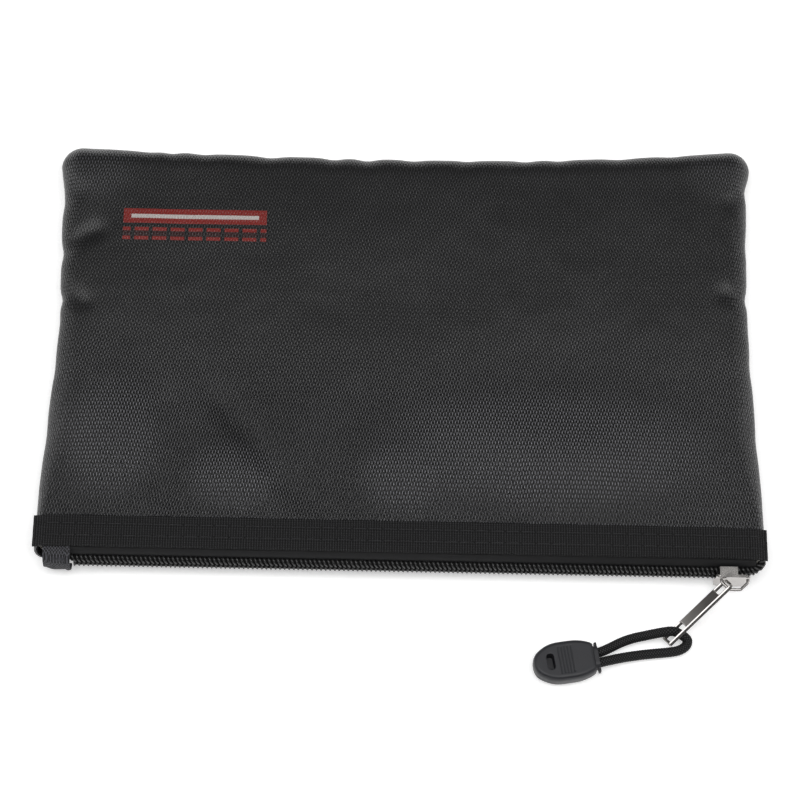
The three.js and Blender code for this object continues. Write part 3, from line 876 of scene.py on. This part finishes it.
def add_binding(name, node, low, high, upper, thread_nodes, grosgrain, thread):
    half = (high[0] - low[0]) / 2 - (0 if upper else 3)
    rows_y = stitch_rows(low, high)
    face = 1 if upper else -1
    surface = high[2] - 0.15 if upper else low[2] + 0.1
    # Section from the rear edge over the face to the front fold and back underneath.
    section = [
        (high[1] - 0.4, -0.55), (high[1] + 0.1, -0.25), (high[1] - 0.25, 0.05),
        ((high[1] + rows_y[0]) / 2, 0.16), (rows_y[0] + 0.7, 0.02), (rows_y[0], -0.18),
        (rows_y[0] - 0.7, 0.02), ((rows_y[0] + rows_y[1]) / 2, 0.22), (rows_y[1] + 0.7, 0.02),
        (rows_y[1], -0.18), (rows_y[1] - 0.7, 0.03), (low[1] + 1.6, 0.14), (low[1] + 0.5, 0.0),
        (low[1] + 0.02, -0.4), (low[1] - 0.02, -0.9), (low[1] + 0.3, -1.35), (low[1] + 1.2, -1.55),
        (low[1] + 3.5, -1.5), (low[1] + 3.6, -0.95), (high[1] - 1.5, -0.95),
    ]
    section = np.array(section)
    x = np.arange(-half, half + 0.01, RIB_PITCH / 4)
    ribs = 0.05 * np.cos(2 * math.pi * x / RIB_PITCH)
    lift = binding_height(x) if upper else 0 * x
    edge_wave = 0.18 * np.array([noise.noise((a / 11, 3.1, 0.7)) for a in x])
    raised = (section[:, 1] > -0.3).astype(float)
    fore = smoothstep(section[:, 0], high[1] - 3, high[1])
    y = section[None, :, 0] + edge_wave[:, None] * fore[None, :]
    z = surface + face * (section[None, :, 1] + ribs[:, None] * raised[None, :]) + lift[:, None]
    if not upper:
        z = np.maximum(z, 0.02)
    points = np.stack([np.broadcast_to(x[:, None], y.shape), y, z], axis=2)
    count = len(section)
    faces = grid_faces(len(x), count, wrap=True)
    faces.append(tuple(range(count - 1, -1, -1)))
    faces.append(tuple(range((len(x) - 1) * count, len(x) * count)))
    ribbon = outward(mesh_object(name, points.reshape(-1, 3), faces, grosgrain))
    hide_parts(node)
    pieces = [ribbon]
    for row, (y_row, thread_node) in enumerate(zip(rows_y, thread_nodes)):
        points, faces = [], []
        for index in range(int((2 * half - 3) / STITCH_PITCH)):
            start = FIRST_STITCH + index * STITCH_PITCH + 0.3
            reach = np.linspace(0, 1, 9)
            arch = np.sin(math.pi * reach) ** 0.6
            stitch_x = start + reach * (STITCH_PITCH - 0.6)
            sway = 0.12 * noise.noise((index * 0.7, row, 4.4))
            base = surface + (binding_height(stitch_x) if upper else 0)
            stitch_z = base + face * (0.24 * arch - 0.3)
            if not upper:
                stitch_z = np.maximum(stitch_z, 0.2)
            route = np.stack([stitch_x, np.full(9, y_row) + sway * (2 * reach - 1), stitch_z], axis=1)
            add_tube(points, faces, route, 0.15, 7)
        stitches = outward(mesh_object(f"{name}_stitches_{row + 1}", points, faces, thread))
        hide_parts(thread_node)
        pieces.append(stitches)
    for piece in pieces:
        if upper:
            blend_mouth(piece)
        else:
            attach(piece, "bag")


def add_bindings():
    grosgrain = grosgrain_material(stitch_rows(BINDING_LOW, BINDING_HIGH), FIRST_STITCH)
    thread = thread_material()
    add_binding(
        "upper_binding", "binding_top", BINDING_LOW, BINDING_HIGH, True,
        ("stitch_row_top_rear", "stitch_row_top_front"), grosgrain, thread,
    )
    add_binding(
        "lower_binding", "binding_bottom", LOWER_BINDING_LOW, LOWER_BINDING_HIGH, False,
        ("stitch_row_bottom_rear", "stitch_row_bottom_front"), grosgrain, thread,
    )


add_bindings()


# ---- zip ----
TOOTH_PITCH = 1.67
WIRE_RADIUS = 0.4
COIL_HALF_WIDTH = 1.4
COIL_HALF_DEPTH = 0.95
COIL_OFFSET = 1.1
COIL_LEAN = math.radians(18)
COIL_Y = TAPE_LOW[1] - COIL_HALF_DEPTH - WIRE_RADIUS + 0.15
# How far each loop leans along the zip, and the filler's gaps inside the loops.
UPPER_SKEW, LOWER_SKEW = 0.45, 0.3
FILLER_DEPTH_GAP, FILLER_WIDTH_GAP = 0.25, 0.02


def tape_material():
    nodes = Nodes("zip_tape", (0.007, 0.007, 0.0075), 0.6, specular=0.4)
    point = nodes.point()
    x, y, z = nodes.split(nodes.scaled(point, (1 / MM, 1 / MM, 1 / MM)))
    down = nodes.math("SUBTRACT", y, z)
    herringbone = nodes.wave(nodes.math("ADD", x, nodes.math("MULTIPLY", down, 0.6)), 0.42)
    fuzz = nodes.noise(point, 2400, 3)
    height = nodes.math("MULTIPLY_ADD", fuzz, 0.6, herringbone)
    color = nodes.mix(fuzz, (0.004, 0.004, 0.0045), (0.011, 0.011, 0.012))
    return nodes.finish(color=color, normal=nodes.bump(height, 0.00005, 0.5))


def coil_material():
    nodes = Nodes("zip_coil", (0.016, 0.016, 0.0165), 0.3, specular=0.6)
    dull = nodes.noise(nodes.point(), 700, 3)
    return nodes.finish(roughness=nodes.remap(dull, 0.3, 0.7, 0.22, 0.36))


def filler_material():
    nodes = Nodes("zip_filler", (0.002, 0.002, 0.002), 0.8, specular=0.2)
    fibres = nodes.noise(nodes.point(), 2500, 2)
    return nodes.finish(normal=nodes.bump(fibres, 0.0001, 0.6))


def add_tape(name, node, low, high, upper, material):
    """A thin tape that runs out from under its binding and turns towards the coils."""
    root_z = high[2] - 0.3 if upper else low[2] + 0.3
    edge_z = low[2] if upper else high[2]
    plane_y = low[1] + 0.3
    radius = abs(root_z - edge_z)
    bend_y = plane_y + radius
    line = [(high[1], root_z), ((high[1] + bend_y) / 2, root_z)]
    for angle in np.linspace(0, math.pi / 2, 10):
        line.append((bend_y - radius * math.sin(angle), edge_z + (root_z - edge_z) * math.cos(angle)))
    line.append((plane_y, edge_z + (-0.9 if upper else 0.9)))
    line = np.array(line)
    x = np.linspace(low[0] - 3.5, high[0] + 1.5, 240)
    bulge = 0.22 * np.array([noise.noise((a / 14, 1.1, 6.0)) for a in x])
    belly = np.sin(np.linspace(0, math.pi, len(line)))
    y = line[None, :, 0] - 0.4 * belly[None, :] * (0.5 + bulge[:, None])
    z = line[None, :, 1] + (0.5 if upper else -0.3) * belly[None, :] * (0.5 + bulge[:, None])
    points = np.stack([np.broadcast_to(x[:, None], y.shape), y, z], axis=2)
    tape = mesh_object(name, points.reshape(-1, 3), grid_faces(len(x), len(line)), material)
    solidify = tape.modifiers.new("thickness", "SOLIDIFY")
    solidify.thickness = 0.45 * MM
    solidify.offset = 0
    apply_modifiers(tape)
    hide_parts(node)
    return tape


def coil_route(upper):
    """Centre line of one coil: along the closed zip, through the slider and up round the corner."""
    side = 1 if upper else -1
    back = side * COIL_OFFSET * math.sin(COIL_LEAN)
    rise = side * COIL_OFFSET * math.cos(COIL_LEAN)
    start = TAPE_LOW[0] + (0 if upper else TOOTH_PITCH / 2)
    route = [(x, COIL_Y + back, ZIP_Z + rise) for x in (start, -60, 0, 60, 112, 122)]
    if upper:
        route += [
            (126.5, COIL_Y + 0.4, 8.7), (130.2, -87.7, 9.3), (132.3, -85.8, 10.5),
            (132.9, -83.2, 11.6),
        ]
    else:
        route += [(126.5, COIL_Y, 6.6), (129.6, -87.4, 6.8)]
    return smooth_route(route, 0.5)


def add_coil(name, node, upper, material):
    """A coil wound on a filler cord; the two coils are wound opposite ways, as a real pair is."""
    route = coil_route(upper)
    first_out = (0, -math.cos(COIL_LEAN), math.sin(COIL_LEAN))
    tangent, depth_side, width_side = route_frames(route, first_out)
    along = np.concatenate([[0], np.cumsum(np.linalg.norm(np.diff(route, axis=0), axis=1))])
    per_turn = 14
    turns = along[-1] / TOOTH_PITCH
    count = int(turns * per_turn)
    place = np.linspace(0, along[-1], count)
    turn = -1 if upper else 1
    skew = UPPER_SKEW if upper else LOWER_SKEW
    phase = turn * 2 * math.pi * np.arange(count) / per_turn

    def at(values):
        return np.stack([np.interp(place, along, values[:, axis]) for axis in range(3)], axis=1)

    centre, out, across, forward = at(route), at(depth_side), at(width_side), at(tangent)
    wire = (
        centre
        + across * (COIL_HALF_WIDTH * np.cos(phase))[:, None]
        + out * (COIL_HALF_DEPTH * np.sin(phase))[:, None]
        + forward * (skew * np.cos(phase))[:, None]
    )
    points, faces = [], []
    add_tube(points, faces, wire, WIRE_RADIUS, 7, first_side=(1, 0, 0))
    sides = 12
    angle = np.linspace(0, 2 * math.pi, sides, endpoint=False)
    deep, wide = COIL_HALF_DEPTH - FILLER_DEPTH_GAP, COIL_HALF_WIDTH - FILLER_WIDTH_GAP
    core = deep * wide / np.hypot(wide * np.cos(angle), deep * np.sin(angle))
    wire_faces = len(faces)
    add_tube(points, faces, route, core, sides, first_side=first_out)
    coil = mesh_object(name, points, faces, material)
    coil.data.materials.append(filler_material())
    is_filler = (np.arange(len(faces)) >= wire_faces).astype(np.int32)
    coil.data.polygons.foreach_set("material_index", is_filler)
    outward(coil)
    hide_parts(node)
    return coil


TAB_YARN_PITCH = 1.1
TAB_RIGHT = TAB_HIGH[0] - 1.2


def tab_material():
    nodes = Nodes("end_tab", (0.03, 0.03, 0.034), 0.6, specular=0.35)
    point = nodes.point()
    x, y, z = nodes.split(nodes.scaled(point, (1 / MM, 1 / MM, 1 / MM)))
    down = nodes.math("SUBTRACT", z, y)
    first = nodes.wave(nodes.math("ADD", x, down), TAB_YARN_PITCH)
    second = nodes.wave(nodes.math("SUBTRACT", x, down), TAB_YARN_PITCH)
    over = nodes.math("MAXIMUM", first, second)
    fuzz = nodes.noise(point, 1800, 3)
    yarn = nodes.math("MULTIPLY", nodes.remap(over, 0.45, 0.95), nodes.remap(fuzz, 0.25, 0.6, 0.3, 1.0))
    # Painted shade between the crossing yarns, which are coloured lighter where they ride on top; the
    # fuzz varies their tone at random.
    color = nodes.mix(yarn, (0.007, 0.007, 0.008), (0.085, 0.085, 0.098))
    return nodes.finish(color=color, normal=nodes.bump(over, 0.00015, 0.7))


def add_end_tab():
    """The folded woven tab over the zip's closed end, with a hem along its inner edge."""
    line = smooth_route([
        (0, TAB_HIGH[1] + 0.4, TAB_HIGH[2] - 0.2), (0, -87.7, 12.6), (0, -90.0, 10.9), (0, -91.0, 8.5),
        (0, -91.0, 5.6), (0, -89.9, 3.3), (0, -87.4, 1.7),
    ], 0.5)[:, 1:]
    x = np.concatenate([
        np.linspace(TAB_LOW[0], TAB_RIGHT - 1.9, 22), np.linspace(TAB_RIGHT - 1.8, TAB_RIGHT, 12),
    ])
    hem_middle = TAB_RIGHT - 0.8
    hem = 0.35 * np.exp(-((x - hem_middle) / 0.7) ** 4)
    soft = np.array([[noise.noise((a / 5, b / 5, 8.0)) for b in range(len(line))] for a in x]) * 0.12
    normal = np.gradient(line, axis=0)
    normal /= np.linalg.norm(normal, axis=1)[:, None]
    out = np.stack([normal[:, 1], -normal[:, 0]], axis=1)
    shift = hem[:, None] + soft
    taper = 0.9 * (1 - smoothstep(x, TAB_LOW[0], TAB_LOW[0] + 4))
    y = line[None, :, 0] + out[None, :, 0] * shift + taper[:, None]
    z = line[None, :, 1] + out[None, :, 1] * shift
    points = np.stack([np.broadcast_to(x[:, None], y.shape), y, z], axis=2)
    tab = mesh_object("end_tab", points.reshape(-1, 3), grid_faces(len(x), len(line)), tab_material())
    solidify = tab.modifiers.new("thickness", "SOLIDIFY")
    solidify.thickness = 0.7 * MM
    solidify.offset = 0
    apply_modifiers(tab)
    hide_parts("zip_end_tab")
    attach(tab, "bag")


def add_zip():
    tape, coil = tape_material(), coil_material()
    upper_tape = add_tape("upper_tape", "zip_tape_upper", TAPE_LOW, TAPE_HIGH, True, tape)
    lower_tape = add_tape("lower_tape", "zip_tape_lower", LOWER_TAPE_LOW, LOWER_TAPE_HIGH, False, tape)
    upper_coil = add_coil("upper_coil", "zip_coil_upper", True, coil)
    lower_coil = add_coil("lower_coil", "zip_coil_lower", False, coil)
    for piece in (upper_tape, upper_coil):
        blend_mouth(piece)
    for piece in (lower_tape, lower_coil):
        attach(piece, "bag")
    add_end_tab()


add_zip()


# ---- floor and light ----
def add_floor():
    nodes = Nodes("floor", (0.86, 0.86, 0.86), 0.9, specular=0.1)
    nodes.shader.inputs["Emission Color"].default_value = (1, 1, 1, 1)
    nodes.shader.inputs["Emission Strength"].default_value = 0.42
    half = 3000
    floor = mesh_object(
        "floor", [(-half, -half, 0), (half, -half, 0), (half, half, 0), (-half, half, 0)],
        [(0, 1, 2, 3)], nodes.finish(),
    )


def add_light(name, place, target, size, watts):
    data = bpy.data.lights.new(name, "AREA")
    data.shape = "RECTANGLE"
    data.size, data.size_y = size
    data.energy = watts
    light = bpy.data.objects.new(name, data)
    light.location = place
    aim = Vector(target) - Vector(place)
    light.rotation_euler = aim.to_track_quat("-Z", "Y").to_euler()
    bpy.context.scene.collection.objects.link(light)


def add_lighting():
    add_light("key", (0.0, -0.32, 1.7), (0, 0, 0), (1.5, 1.2), 17)
    add_light("left", (-1.5, 0.0, 1.3), (0, 0, 0), (0.9, 0.7), 8)
    add_light("right", (1.5, 0.0, 1.3), (0, 0, 0), (0.9, 0.7), 8)
    add_light("back", (0.0, 1.1, 1.9), (0, 0, 0), (1.6, 0.8), 2.4)
    world = bpy.data.worlds.new("world")
    world.use_nodes = True
    world.node_tree.nodes["Background"].inputs["Color"].default_value = (1, 1, 1, 1)
    world.node_tree.nodes["Background"].inputs["Strength"].default_value = 0.13
    bpy.context.scene.world = world
    bpy.context.scene.view_settings.view_transform = "Standard"


add_floor()
add_lighting()
